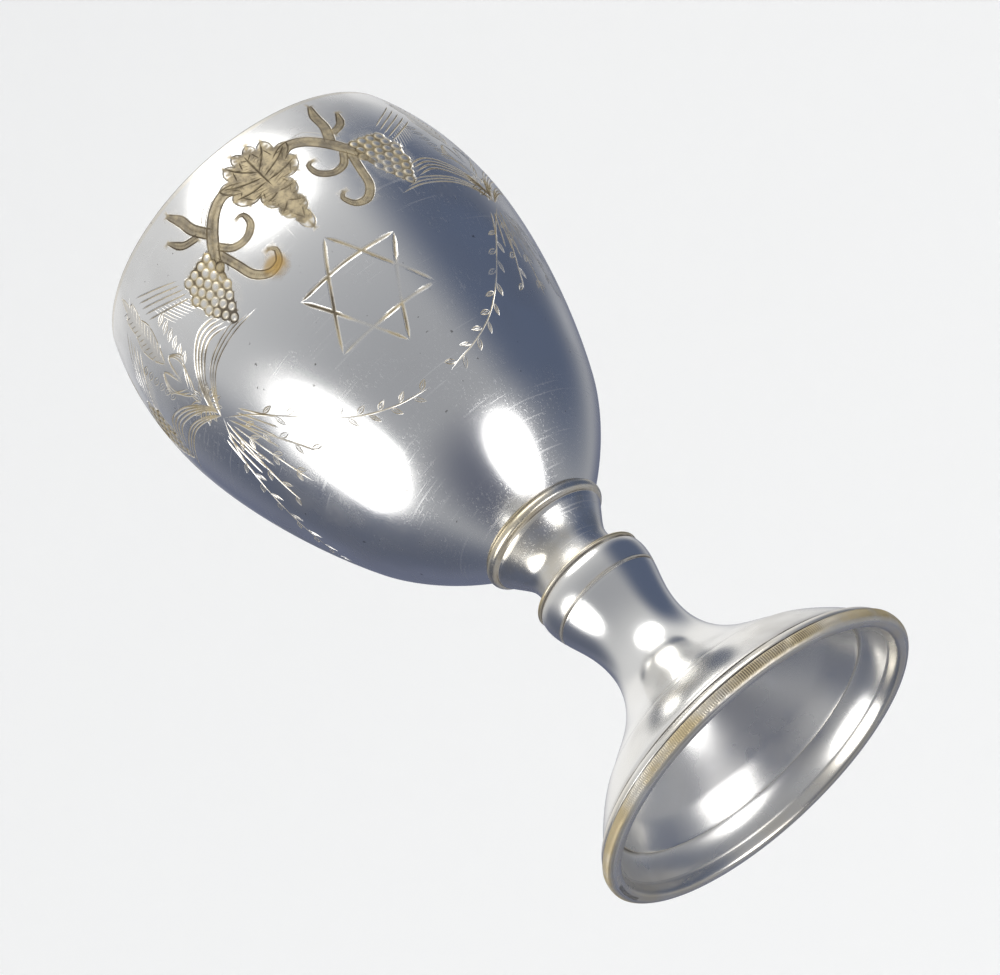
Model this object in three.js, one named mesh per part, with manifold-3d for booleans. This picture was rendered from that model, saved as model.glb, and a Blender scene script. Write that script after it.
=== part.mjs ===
// A kiddush cup: a silver-plated brass goblet made of three spun pieces on one axis.
// The bowl sits on a short flared collar, and the collar on a stem that opens into the foot.
// Units are millimetres. +Z is up, and the origin is the centre of the ring that the foot stands on.
// Each outline is the right-hand half of a section: radius first, then height.

import * as THREE from 'three';
import { mergeVertices } from 'three/addons/utils/BufferGeometryUtils.js';
import Module from 'manifold-3d';

// ---------------------------------------------------------------- driving dimensions

const HEIGHT = 132;               // foot ring to rim
const SHEET = 0.85;               // wall of the spun bowl
const COLLAR_SHEET = 1.1;         // wall of the collar
const FOOT_SHEET = 1.0;           // wall of the stem and foot
const SEAM_GAP = 0.3;             // solder line between neighbouring pieces

const BELLY_RADIUS = 34.75;       // widest ring of the bowl
const BELLY_HEIGHT = 111.6;
const RIM_RADIUS = 31.3;
const TURN_RADIUS = 24.5;         // where the round bottom of the bowl passes into its long flank
const TURN_HEIGHT = 72.0;
const TURN_ANGLE = 1.126;         // slope of the flank there, in radians from level
const BOTTOM_HEIGHT = 50.8;       // lowest point of the bowl, hidden in the collar
const BOTTOM_EASE = 7.6;          // handle lengths of the bowl's curves, from the bottom up
const TURN_EASE = [10.4, 12.0];
const BELLY_EASE = [12.2, 6.5];
const RIM_EASE = point(2.7, 7.1);
const RIM_ROUND = point(0.25, 0.3);

const BEAD_RADIUS = 11.75;        // bead round the collar's top
const BEAD_HEIGHT = 54.9;
const COLLAR_NECK_RADIUS = 7.7;
const COLLAR_EASE = [point(-0.4, 4.8), point(-3.4, -5)];

const LIP_RADIUS = 10.35;         // sharp ring round the stem's top
const STEM_TOP = 44.2;
const KNOP_RADIUS = 10.42;
const KNOP_HEIGHT = 41.8;
const SCRIBED_RING_HEIGHT = 38.5;
const SCRIBED_RING_RADIUS = 9.67;
const WAIST_RADIUS = 7.95;        // thinnest ring of the stem
const WAIST_HEIGHT = 29.3;
const WAIST_EASE = [9.85, 5.6];   // handle lengths below and above the waist
const KNOP_EASE = 3.9;

const FOOT_RADIUS = 31.3;         // widest ring of the foot
const STANDING_OUTER = 30.2;      // flat ring that the cup stands on
const STANDING_INNER = 28.9;
const CREASE_RADIUS = 22.0;       // crease between the trumpet and the foot's sloping shoulder
const CREASE_HEIGHT = 11.6;
const CREASE_STEP = 0.25;         // narrow ledge at the crease
const CREASE_EASE = point(-4.4, 4.0);

const STAR_COUNT = 3;             // stars engraved round the bowl
const STAR_HEIGHT = 93.9;         // height of each star's centre
const STAR_RADIUS = 11.2;         // centre to point
const STROKE_WIDTH = 0.9;
const STROKE_DEPTH = 0.35;

const BOWL_SIDES = 56;
const COLLAR_SIDES = 32;
const FOOT_SIDES = 44;

// ---------------------------------------------------------------- outlines

function point(radius, height) {
  return new THREE.Vector2(radius, height);
}

// Points along a cubic curve, without its first point, so that stretches can follow one another.
function bend(start, startHandle, endHandle, end, steps) {
  return new THREE.CubicBezierCurve(start, startHandle, endHandle, end).getPoints(steps).slice(1);
}

// A shallow half-round between two points, standing out to the right of the way from start to end.
function bulge(start, end, height, steps) {
  const along = end.clone().sub(start);
  const out = point(along.y, -along.x).normalize().multiplyScalar(height * 4 / 3);
  const first = start.clone().addScaledVector(along, 0.2).add(out);
  const second = end.clone().addScaledVector(along, -0.2).add(out);
  return bend(start, first, second, end, steps);
}

// The same outline moved sideways by a distance: positive to the left of its direction.
function offset(outline, distance) {
  return outline.map((here, i) => {
    const before = outline[Math.max(i - 1, 0)];
    const after = outline[Math.min(i + 1, outline.length - 1)];
    const along = after.clone().sub(before).normalize();
    return point(here.x - along.y * distance, here.y + along.x * distance);
  });
}

// A closed or axis-to-axis outline turned about Z, as a closed mesh with shared corners.
function turn(outline, sides) {
  const geometry = new THREE.LatheGeometry(outline, sides);
  geometry.rotateX(Math.PI / 2);
  geometry.deleteAttribute('normal');
  geometry.deleteAttribute('uv');
  return withoutSlivers(mergeVertices(geometry, 1e-4));
}

// The turned mesh has flat triangles where it meets the axis: those are left out.
function withoutSlivers(geometry) {
  const corners = geometry.index.array;
  const kept = [];
  for (let i = 0; i < corners.length; i += 3) {
    const [a, b, c] = corners.slice(i, i + 3);
    if (a !== b && b !== c && c !== a) kept.push(a, b, c);
  }
  geometry.setIndex(kept);
  return geometry;
}

// ---------------------------------------------------------------- bowl

const bottom = point(0, BOTTOM_HEIGHT);
const turnPoint = point(TURN_RADIUS, TURN_HEIGHT);
const flank = point(Math.cos(TURN_ANGLE), Math.sin(TURN_ANGLE));
const belly = point(BELLY_RADIUS, BELLY_HEIGHT);
const rim = point(RIM_RADIUS, HEIGHT);

const bowlCurves = [
  new THREE.CubicBezierCurve(bottom, point(BOTTOM_EASE, BOTTOM_HEIGHT),
    turnPoint.clone().addScaledVector(flank, -TURN_EASE[0]), turnPoint),
  new THREE.CubicBezierCurve(turnPoint, turnPoint.clone().addScaledVector(flank, TURN_EASE[1]),
    point(BELLY_RADIUS, BELLY_HEIGHT - BELLY_EASE[0]), belly),
  new THREE.CubicBezierCurve(belly, point(BELLY_RADIUS, BELLY_HEIGHT + BELLY_EASE[1]),
    point(RIM_RADIUS + RIM_EASE.x, HEIGHT - RIM_EASE.y), rim),
];

// The bowl's outside from its lowest point to the rim, with a number of steps for each curve.
function bowlOutside(steps) {
  const rest = bowlCurves.flatMap((curve, i) => curve.getPoints(steps[i]).slice(1));
  return [bottom, ...rest];
}

function bowlSection() {
  const outside = bowlOutside([7, 5, 4]);
  const inside = offset(bowlOutside([5, 3, 2]), SHEET);
  inside[0].x = 0;
  outside[outside.length - 1].y = HEIGHT - RIM_ROUND.y;
  inside[inside.length - 1].y = HEIGHT - RIM_ROUND.y;
  const lip = [
    point(RIM_RADIUS - RIM_ROUND.x, HEIGHT),
    point(RIM_RADIUS - SHEET + RIM_ROUND.x, HEIGHT),
  ];
  return [...outside, ...lip, ...inside.reverse()];
}

// ---------------------------------------------------------------- star engraving

// The bowl's outside as one path, so that a place on it is an angle and a distance along the path.
const bowlPath = new THREE.CurvePath();
bowlCurves.forEach((curve) => bowlPath.add(curve));
const pathLength = bowlPath.getLength();

function travelAtHeight(height) {
  let low = 0;
  let high = pathLength;
  while (high - low > 1e-3) {
    const middle = (low + high) / 2;
    if (bowlPath.getPoint(middle / pathLength).y < height) low = middle;
    else high = middle;
  }
  return low;
}

// A point a little above (lift > 0) or below the bowl's skin. Angle 0 is the front, at -Y.
function onBowl(angle, travel, lift) {
  const here = bowlPath.getPoint(travel / pathLength);
  const ahead = bowlPath.getPoint(Math.min(travel + 0.01, pathLength) / pathLength);
  const along = ahead.sub(here).normalize();
  const radius = here.x + along.y * lift;
  const height = here.y - along.x * lift;
  return new THREE.Vector3(radius * Math.sin(angle), -radius * Math.cos(angle), height);
}

// A V-shaped graver stroke that follows the bowl between two places on the flattened skin,
// given as millimetres across and up from the star's centre. It runs out to a point at each end.
function graverStroke(from, to, centreAngle, centreTravel) {
  const stations = 6;
  const across = to.clone().sub(from).normalize();
  const side = point(-across.y, across.x).multiplyScalar(STROKE_WIDTH / 2);
  const proud = 0.25;
  const widen = 1 + proud / STROKE_DEPTH;
  const place = (spot, lift) => {
    const travel = centreTravel + spot.y;
    const radius = bowlPath.getPoint(travel / pathLength).x;
    return onBowl(centreAngle + spot.x / radius, travel, lift);
  };
  const corners = [place(from, proud)];
  for (let i = 1; i < stations; i += 1) {
    const spot = from.clone().lerp(to, i / stations);
    const wide = side.clone().multiplyScalar(widen);
    corners.push(place(spot.clone().add(wide), proud));
    corners.push(place(spot, -STROKE_DEPTH));
    corners.push(place(spot.clone().sub(wide), proud));
  }
  corners.push(place(to, proud));
  return strokeMesh(corners, stations);
}

function strokeMesh(corners, stations) {
  const faces = [];
  const last = corners.length - 1;
  for (let edge = 0; edge < 3; edge += 1) {
    const next = (edge + 1) % 3;
    faces.push([0, 1 + edge, 1 + next]);
    for (let i = 0; i < stations - 2; i += 1) {
      const a = 1 + i * 3;
      const b = a + 3;
      faces.push([a + edge, b + next, a + next], [a + edge, b + edge, b + next]);
    }
    const end = last - 3;
    faces.push([last, end + next, end + edge]);
  }
  const geometry = new THREE.BufferGeometry().setFromPoints(corners);
  geometry.setIndex(faces.flat());
  return geometry;
}

// Six strokes make the two crossed triangles of one star.
function starStrokes(centreAngle) {
  const centreTravel = travelAtHeight(STAR_HEIGHT);
  const tip = (turns) => {
    const angle = turns * 2 * Math.PI;
    return point(Math.sin(angle) * STAR_RADIUS, Math.cos(angle) * STAR_RADIUS);
  };
  const strokes = [];
  for (const start of [0, 1 / 6]) {
    for (let side = 0; side < 3; side += 1) {
      const from = tip(start + side / 3);
      const to = tip(start + (side + 1) / 3);
      strokes.push(graverStroke(from, to, centreAngle, centreTravel));
    }
  }
  return strokes;
}

// ---------------------------------------------------------------- cutting

const wasm = await Module();
wasm.setup();

function solidFrom(geometry) {
  return new wasm.Manifold(new wasm.Mesh({
    numProp: 3,
    vertProperties: new Float32Array(geometry.attributes.position.array),
    triVerts: new Uint32Array(geometry.index.array),
  }));
}

function geometryFrom(solid) {
  const mesh = solid.getMesh();
  const geometry = new THREE.BufferGeometry();
  geometry.setAttribute('position', new THREE.BufferAttribute(mesh.vertProperties, 3));
  geometry.setIndex(new THREE.BufferAttribute(mesh.triVerts, 1));
  return geometry;
}

function bowlGeometry() {
  let bowl = solidFrom(turn(bowlSection(), BOWL_SIDES));
  for (let star = 0; star < STAR_COUNT; star += 1) {
    const angle = star * 2 * Math.PI / STAR_COUNT;
    for (const stroke of starStrokes(angle)) bowl = bowl.subtract(solidFrom(stroke));
  }
  return geometryFrom(bowl);
}

// ---------------------------------------------------------------- collar

// A spun ferrule: a narrow neck that flares up to a bead, open through the middle.
function collarSection() {
  const foot = STEM_TOP + SEAM_GAP;
  const neck = point(COLLAR_NECK_RADIUS, foot);
  const under = point(BEAD_RADIUS - 1.05, BEAD_HEIGHT - 1.3);
  const beadTop = point(BEAD_RADIUS - 0.3, BEAD_HEIGHT + 0.95);
  const flare = [neck, ...bend(neck, neck.clone().add(COLLAR_EASE[0]),
    under.clone().add(COLLAR_EASE[1]), under, 5)];
  const scribed = point(under.x + 0.05, under.y + 0.35);
  const bead = [
    scribed,
    point(BEAD_RADIUS - 0.25, BEAD_HEIGHT - 0.65),
    point(BEAD_RADIUS, BEAD_HEIGHT),
    point(BEAD_RADIUS - 0.05, BEAD_HEIGHT + 0.5),
    beadTop,
  ];
  const innerTop = point(beadTop.x - COLLAR_SHEET, beadTop.y - COLLAR_SHEET);
  const inside = offset(flare, COLLAR_SHEET);
  inside[0].y = foot;
  return [...flare, ...bead, innerTop, ...inside.reverse(), neck];
}

// ---------------------------------------------------------------- stem and foot

// The flat ring, the milled edge, a bead between two grooves, and the shoulder up to the crease.
function footEdge() {
  const outer = point(STANDING_OUTER, 0);
  const edgeTop = point(FOOT_RADIUS - 0.15, 2.0);
  const lowGroove = point(FOOT_RADIUS - 0.75, 2.25);
  const beadStart = point(FOOT_RADIUS - 0.8, 2.6);
  const beadEnd = point(FOOT_RADIUS - 2.1, 4.05);
  const highGroove = point(FOOT_RADIUS - 2.55, 4.15);
  const shoulderStart = point(FOOT_RADIUS - 2.55, 4.55);
  const crease = point(CREASE_RADIUS + 0.3, CREASE_HEIGHT - 0.3);
  return [
    outer,
    point(STANDING_OUTER + 0.6, 0.3),
    point(FOOT_RADIUS, 0.95),
    edgeTop,
    lowGroove,
    beadStart,
    ...bulge(beadStart, beadEnd, 0.3, 2),
    highGroove,
    shoulderStart,
    ...bulge(shoulderStart, crease, 0.35, 3),
    point(CREASE_RADIUS, CREASE_HEIGHT),
    point(CREASE_RADIUS - CREASE_STEP, CREASE_HEIGHT),
  ];
}

// The trumpet, the waist, the knop with its scribed ring, and the lip round the top.
function stemOutside() {
  const start = point(CREASE_RADIUS - CREASE_STEP, CREASE_HEIGHT);
  const waist = point(WAIST_RADIUS, WAIST_HEIGHT);
  const knop = point(KNOP_RADIUS, KNOP_HEIGHT);
  const trumpet = bend(start, start.clone().add(CREASE_EASE),
    point(waist.x, waist.y - WAIST_EASE[0]), waist, 7);
  const rise = bend(waist, point(waist.x, waist.y + WAIST_EASE[1]),
    point(knop.x, knop.y - KNOP_EASE), knop, 6);
  const below = rise.filter((p) => p.y < SCRIBED_RING_HEIGHT - 0.3);
  const above = rise.filter((p) => p.y > SCRIBED_RING_HEIGHT + 0.3);
  const scribed = [
    point(SCRIBED_RING_RADIUS + 0.15, SCRIBED_RING_HEIGHT - 0.25),
    point(SCRIBED_RING_RADIUS, SCRIBED_RING_HEIGHT),
    point(SCRIBED_RING_RADIUS + 0.31, SCRIBED_RING_HEIGHT + 0.25),
  ];
  const lip = [
    point(KNOP_RADIUS - 0.25, STEM_TOP - 1.15),
    point(LIP_RADIUS - 0.45, STEM_TOP - 0.85),
    point(LIP_RADIUS, STEM_TOP - 0.6),
    point(LIP_RADIUS, STEM_TOP - 0.2),
    point(LIP_RADIUS - 0.2, STEM_TOP),
  ];
  return [...trumpet, ...below, ...scribed, ...above, ...lip];
}

// The hollow underneath: a pale lip, a cove, the turned edge, and the trumpet's inside up to the knop.
function underside() {
  const inner = point(STANDING_INNER, 0);
  const lipTop = point(STANDING_INNER - 0.9, 2.0);
  const cove = point(CREASE_RADIUS + 3.3, CREASE_HEIGHT - 5.3);
  const edge = point(cove.x - 0.35, cove.y - 0.55);
  const hollow = point(CREASE_RADIUS - 0.2, CREASE_HEIGHT - 1.7);
  const waist = point(WAIST_RADIUS - FOOT_SHEET, WAIST_HEIGHT - 0.2);
  const top = STEM_TOP - 1.6;
  return [
    point(0, top),
    point(KNOP_RADIUS - 2.6, top),
    ...bend(point(KNOP_RADIUS - 1.5, top - 1.4), point(KNOP_RADIUS - 1.5, KNOP_HEIGHT - 4.5),
      point(waist.x, waist.y + 5), waist, 2),
    ...bend(waist, point(waist.x, waist.y - 8.6), point(hollow.x - 5, hollow.y + 4.2), hollow, 4),
    edge,
    cove,
    lipTop,
    inner,
  ];
}

// ---------------------------------------------------------------- assembly

const cup = new THREE.Group();

function addPiece(name, geometry, look) {
  const piece = new THREE.Mesh(geometry, new THREE.MeshStandardMaterial(look));
  piece.name = name;
  cup.add(piece);
}

const silver = { color: 0xc4c2bc, metalness: 1, roughness: 0.28 };
const wornSilver = { color: 0xc9c1a8, metalness: 1, roughness: 0.3 };

addPiece('bowl', bowlGeometry(), silver);
addPiece('collar', turn(collarSection(), COLLAR_SIDES), wornSilver);
addPiece('stem_and_foot', turn([...underside(), ...footEdge(), ...stemOutside(), point(0, STEM_TOP)],
  FOOT_SIDES), silver);

export default cup;
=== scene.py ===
"""A kiddush cup: an engraved, silver-plated brass goblet made of three spun pieces, and its studio.

The bowl, the collar and the stem with its foot are fine meshes turned from the same outlines as the
construction model, in its frame. The bowl's vine, grapes, leaves, sprays and stars are cut into the
bowl's skin as graver strokes. Outlines and the engraving are drawn in millimetres.
"""

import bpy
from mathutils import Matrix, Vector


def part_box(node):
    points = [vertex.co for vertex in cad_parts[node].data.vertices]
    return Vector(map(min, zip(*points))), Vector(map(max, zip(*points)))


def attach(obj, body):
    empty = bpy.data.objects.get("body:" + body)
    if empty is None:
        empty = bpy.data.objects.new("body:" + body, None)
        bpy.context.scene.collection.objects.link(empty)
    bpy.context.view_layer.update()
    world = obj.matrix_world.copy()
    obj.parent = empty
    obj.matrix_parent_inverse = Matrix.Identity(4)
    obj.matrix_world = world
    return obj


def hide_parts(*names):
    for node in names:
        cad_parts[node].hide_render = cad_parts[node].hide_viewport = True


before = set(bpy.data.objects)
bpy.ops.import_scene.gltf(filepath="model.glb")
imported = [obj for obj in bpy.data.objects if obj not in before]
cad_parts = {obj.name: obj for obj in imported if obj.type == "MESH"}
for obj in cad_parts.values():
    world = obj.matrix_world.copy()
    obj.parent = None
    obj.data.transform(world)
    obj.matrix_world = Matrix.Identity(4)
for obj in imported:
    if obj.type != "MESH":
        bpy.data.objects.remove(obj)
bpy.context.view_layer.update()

import math

import bpy
import numpy as np
from bpy.props import FloatProperty, FloatVectorProperty, IntProperty, PointerProperty
from mathutils import Matrix, Vector, geometry, noise

bl_info = {
    "name": "Kiddush Cup",
    "version": (1, 0, 0),
    "blender": (4, 5, 0),
    "location": "3D View > Sidebar > Cup",
    "description": "An engraved silver-plated goblet in three spun pieces, with its studio",
    "category": "Object",
}

MM = 0.001
BODY = "root"

BOWL_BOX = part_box("bowl")
COLLAR_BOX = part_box("collar")
FOOT_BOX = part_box("stem_and_foot")


# ---------------------------------------------------------------- settings

class CupSizes(bpy.types.PropertyGroup):
    """Sizes that the outlines are worked out from."""
    height: FloatProperty(
        name="Height", description="Foot ring to rim",
        default=BOWL_BOX[1].z, unit="LENGTH")
    belly_radius: FloatProperty(
        name="Belly radius", description="Widest ring of the bowl",
        default=BOWL_BOX[1].x, unit="LENGTH")
    bowl_bottom: FloatProperty(
        name="Bowl bottom", description="Height of the bowl's lowest point",
        default=BOWL_BOX[0].z, unit="LENGTH")
    bead_radius: FloatProperty(
        name="Bead radius", description="Bead round the collar's top",
        default=COLLAR_BOX[1].x, unit="LENGTH")
    foot_radius: FloatProperty(
        name="Foot radius", description="Widest ring of the foot",
        default=FOOT_BOX[1].x, unit="LENGTH")
    stem_top: FloatProperty(
        name="Stem top", description="Height of the stem's upper end",
        default=FOOT_BOX[1].z, unit="LENGTH")
    sheet: FloatProperty(
        name="Bowl wall", description="Thickness of the spun bowl",
        default=0.85 * MM, unit="LENGTH")


class CupEngraving(bpy.types.PropertyGroup):
    """How deep and how worn the engraving is."""
    depth: FloatProperty(
        name="Depth", description="Deepest cut of the star's strokes",
        default=0.3 * MM, unit="LENGTH")
    wear: FloatProperty(
        name="Wear", description="Share of a stroke's depth that years of rubbing take away at most",
        default=0.62, min=0, max=1, subtype="FACTOR")
    wander: FloatProperty(
        name="Hand wander", description="How far the hand-cut lines stray from the even layout",
        default=0.5 * MM, unit="LENGTH")
    flutes: IntProperty(
        name="Milled flutes", description="Upright cuts in the milled band round the foot",
        default=480, min=60)


class CupFinish(bpy.types.PropertyGroup):
    """Colours of the worn plate."""
    silver: FloatVectorProperty(
        name="Silver", description="Clean silver plate",
        default=(0.86, 0.85, 0.825), subtype="COLOR", min=0, max=1)
    tarnish: FloatVectorProperty(
        name="Tarnish", description="Soft grey film on the plate",
        default=(0.60, 0.585, 0.56), subtype="COLOR", min=0, max=1)
    brass: FloatVectorProperty(
        name="Brass", description="Brass where the plate is rubbed through",
        default=(0.66, 0.54, 0.31), subtype="COLOR", min=0, max=1)
    ground: FloatVectorProperty(
        name="Ground", description="Matt brass ground inside the vine and the leaves",
        default=(0.15, 0.115, 0.062), subtype="COLOR", min=0, max=1)
    dirt: FloatVectorProperty(
        name="Dirt", description="Dark brown dirt and old solder in grooves",
        default=(0.05, 0.035, 0.02), subtype="COLOR", min=0, max=1)
    roughness: FloatProperty(
        name="Roughness", description="Roughness of the clean plate",
        default=0.19, min=0.02, max=1, subtype="FACTOR")


class CupStudio(bpy.types.PropertyGroup):
    """The plain studio round the cup."""
    floor_colour: FloatVectorProperty(
        name="Floor", description="Pale floor and backdrop",
        default=(0.77, 0.77, 0.765), subtype="COLOR", min=0, max=1)
    lens: FloatProperty(
        name="Lens", description="Focal length of the camera on a 36 mm sensor",
        default=165.0, min=10)
    brightness: FloatProperty(
        name="Brightness", description="Brightness of the soft boxes and of the light all round",
        default=1.0, min=0)


def sizes():
    return bpy.context.scene.cup_sizes


def engraving():
    return bpy.context.scene.cup_engraving


def finish():
    return bpy.context.scene.cup_finish


def studio():
    return bpy.context.scene.cup_studio


# ---------------------------------------------------------------- outlines

def bend(start, start_handle, end_handle, end, steps):
    """Points along a cubic curve, without its first point."""
    t = np.linspace(0, 1, steps + 1)[1:, None]
    a, b, c, d = (np.array(p, float) for p in (start, start_handle, end_handle, end))
    return (1 - t) ** 3 * a + 3 * t * (1 - t) ** 2 * b + 3 * t * t * (1 - t) * c + t ** 3 * d


def bulge(start, end, height, steps):
    """A shallow half-round that stands out to the right of the way from start to end."""
    start, end = np.array(start, float), np.array(end, float)
    along = end - start
    out = np.array([along[1], -along[0]]) / np.linalg.norm(along) * height * 4 / 3
    return bend(start, start + 0.2 * along + out, end - 0.2 * along + out, end, steps)


def rings(points, rub=0.0, dirt=0.0):
    """One row for each ring: radius, height, how far the plate is rubbed through and how dirty it is."""
    return [(p[0], p[1], rub, dirt) for p in points]


def softened(outline, rounds=2):
    """The same rows with the outline's corners cut off, so that every edge has a small round."""
    line = np.array(outline, float)
    for _ in range(rounds):
        near = 0.75 * line[:-1] + 0.25 * line[1:]
        far = 0.25 * line[:-1] + 0.75 * line[1:]
        middle = np.stack([near, far], 1).reshape(-1, line.shape[1])
        line = np.vstack([line[:1], middle[1:-1], line[-1:]])
    return [tuple(p) for p in line]


SKIN_STEPS = 600    # points along each curve of the bowl's outline


def bowl_curves():
    """The bowl's outside as three cubic curves, from its lowest point to the rim."""
    height, belly, bottom = (v / MM for v in (sizes().height, sizes().belly_radius, sizes().bowl_bottom))
    turn = np.array([24.5, bottom + 21.2])
    flank = np.array([math.cos(1.126), math.sin(1.126)])
    widest = np.array([belly, height - 20.4])
    rim = np.array([belly - 3.45, height])
    return [
        ((0, bottom), (7.6, bottom), turn - 10.4 * flank, turn),
        (turn, turn + 12.0 * flank, widest - (0, 12.2), widest),
        (widest, widest + (0, 6.5), rim + (2.7, -7.1), rim),
    ]


class BowlSkin:
    """The bowl's outside: a place on it is an angle and the distance travelled up its outline."""

    def __init__(self):
        points = [np.array([[0, sizes().bowl_bottom / MM]])]
        points += [bend(*curve, SKIN_STEPS) for curve in bowl_curves()]
        self.line = np.vstack(points)
        steps = np.linalg.norm(np.diff(self.line, axis=0), axis=1)
        self.travel = np.concatenate([[0], np.cumsum(steps)])
        self.length = self.travel[-1]
        slope = np.gradient(self.line, self.travel, axis=0)
        self.slope = slope / np.linalg.norm(slope, axis=1)[:, None]

    def radius(self, travel):
        return np.interp(travel, self.travel, self.line[:, 0])

    def height(self, travel):
        return np.interp(travel, self.travel, self.line[:, 1])

    def travel_at(self, height):
        return np.interp(height, self.line[:, 1], self.travel)

    def outward(self, travel):
        """The outward direction in the section, as radius and height."""
        along = np.stack([np.interp(travel, self.travel, self.slope[:, k]) for k in (0, 1)], -1)
        return np.stack([along[..., 1], -along[..., 0]], -1)

    def sunk(self, travel, depth):
        """Radius and height at a depth under the skin."""
        out = self.outward(travel)
        return self.radius(travel) - out[:, 0] * depth, self.height(travel) - out[:, 1] * depth

    def place(self, angle, travel, depth):
        """Points at a depth under the skin; angle 0 is the front, at -Y."""
        radius, height = self.sunk(travel, depth)
        return np.stack([radius * np.sin(angle), -radius * np.cos(angle), height], -1)

    def normal(self, angle, travel):
        out = self.outward(travel)
        return np.stack([out[:, 0] * np.sin(angle), -out[:, 0] * np.cos(angle), out[:, 1]], -1)


# ---------------------------------------------------------------- engraving

SHEET_RADIUS = 33.3         # the skin is drawn flat as if the bowl were a cylinder of this radius
KNOT = 60                   # degrees from a star's middle to a knot's, half of the pattern's repeat
REPEAT = math.radians(KNOT)
HALVES = 6                  # half repeats round the bowl, every other one mirrored
HALF_WIDTH = SHEET_RADIUS * REPEAT
DRAWN_FROM = 73.0           # heights between which the skin is drawn
DRAWN_TO = 130.9
BACKGROUND_COLUMNS = 40
BACKGROUND_ROWS = 46
STATION = 0.55              # distance between stations along a stroke
STAR_HEIGHT = 0.711         # of the star's middle, as a share of the cup's height
STAR_RADIUS = 11.2
STAR_STROKE = 0.85
BAND_OUTLINE = 0.36         # width of the cuts along a ribbon's two sides
BAND_BRASS = 0.9
BAND_HATCH = 0.5            # distance between the hatching strokes across a ribbon
HATCH_REACH = 0.32          # half length of such a stroke, as a share of the ribbon's width
HATCH_SLANT = 0.6
FIRST_LEAF = 0.2            # a spray's first and last leaf, as shares of its stem
LAST_LEAF = 0.95
GRAPE_DEPTH = 0.38          # how far the gaps between grapes are sunk
GAP_REACH = 1.22            # where the gap round a grape ends, in grape radii from its centre
GAP_BETWEEN = 1.45          # nearer than this to a second grape, the gap has its full depth
GROUND_BLUR = 0.22          # over which a brassy ground fades outside its outline
SHALLOWEST = 0.006          # a shallower cut is left out
JOINED = 1e-4               # points nearer than this become one
AT_ONCE = 400               # points whose depth is worked out together


def turns(count):
    """Angles of points evenly spaced round a circle."""
    return np.arange(count) * 2 * math.pi / count


def left_of(way):
    return np.array([-way[1], way[0]])


def through(points, step):
    """A smooth line through the points, with a station about every step."""
    p = np.array(points, float)
    if len(p) == 2:
        count = max(2, round(np.linalg.norm(p[1] - p[0]) / step))
        return p[0] + np.linspace(0, 1, count + 1)[:, None] * (p[1] - p[0])
    p = np.vstack([2 * p[0] - p[1], p, 2 * p[-1] - p[-2]])
    line = [p[1]]
    for a, b, c, d in zip(p, p[1:], p[2:], p[3:]):
        count = max(2, round(np.linalg.norm(c - b) / step))
        for t in np.linspace(0, 1, count + 1)[1:]:
            line.append(0.5 * (2 * b + (c - a) * t + (2 * a - 5 * b + 4 * c - d) * t * t
                               + (3 * b - a - 3 * c + d) * t ** 3))
    return np.array(line)


def sideways(line, distance):
    """A line moved to the left of its direction."""
    along = np.gradient(line, axis=0)
    along /= np.linalg.norm(along, axis=1)[:, None] + 1e-9
    return line + np.stack([-along[:, 1], along[:, 0]], 1) * np.reshape(distance, (-1, 1))


def tapered(share):
    """A ribbon's width along it: full at first, narrowing to about a third at its end."""
    return 0.35 + 0.65 * np.minimum(1, 3.0 * (1 - share))


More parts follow.
